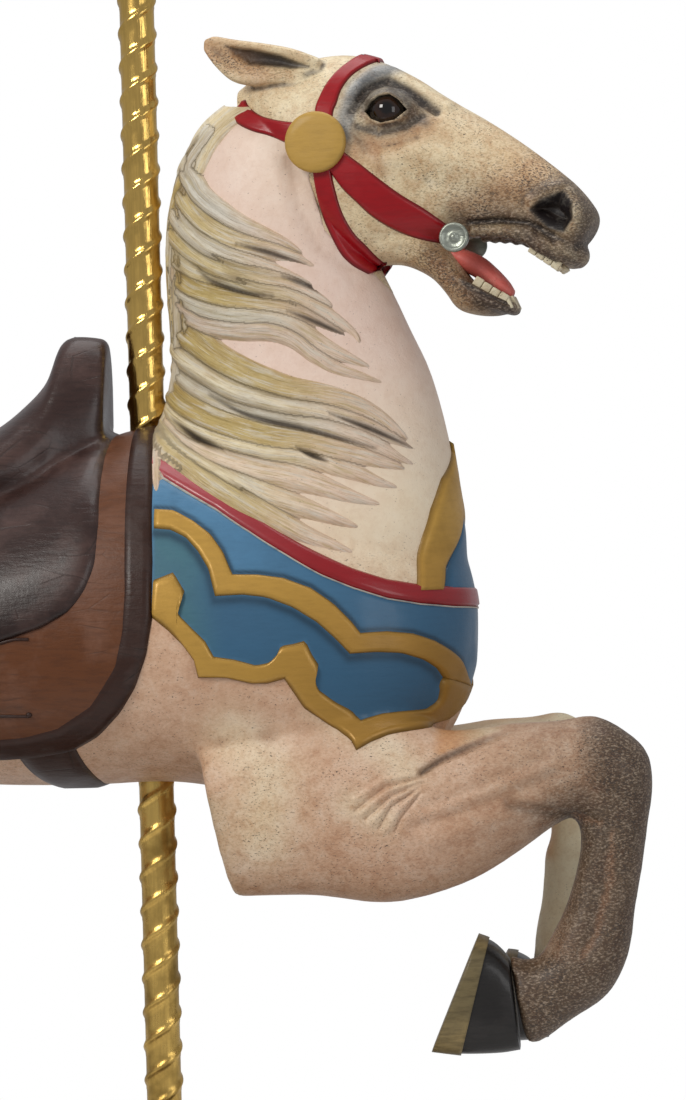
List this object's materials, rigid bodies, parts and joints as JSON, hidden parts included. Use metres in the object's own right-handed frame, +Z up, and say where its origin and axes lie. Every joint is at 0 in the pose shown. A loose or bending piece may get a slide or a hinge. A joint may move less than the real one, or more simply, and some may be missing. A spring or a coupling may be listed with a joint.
{
  "type": "carousel horse",
  "caption": "Carved and painted wooden carousel horse with saddle, blanket and scrolled collar, on a twisted brass pole and round stand.",
  "frame": {"origin": "centre of the round stand's underside, on the pole's axis", "axes": "+Z up along the pole, +X towards the horse's nose, -Y the decorated right side"},
  "size_m": [1.5263, 0.76, 1.952],
  "materials": {
    "painted_wood": "aged oil paint, satin, mottled",
    "eye_glass": "gloss, opaque brown",
    "gold_paint": "matte gold paint",
    "bit_metal": "dull grey",
    "pole_brass": "polished, tarnished below",
    "stand_wood": "dark satin varnish"
  },
  "bodies": {
    "root": {"carved_horse": "painted_wood", "glass_eye_right": "eye_glass", "glass_eye_left": "eye_glass", "bridle_rosette_right": "gold_paint", "bridle_rosette_left": "gold_paint", "bit_boss_right": "bit_metal", "bit_boss_left": "bit_metal", "twisted_brass_pole": "pole_brass", "pole_finial": "pole_brass", "pole_flange": "pole_brass", "display_base": "stand_wood"}
  },
  "joints": []
}
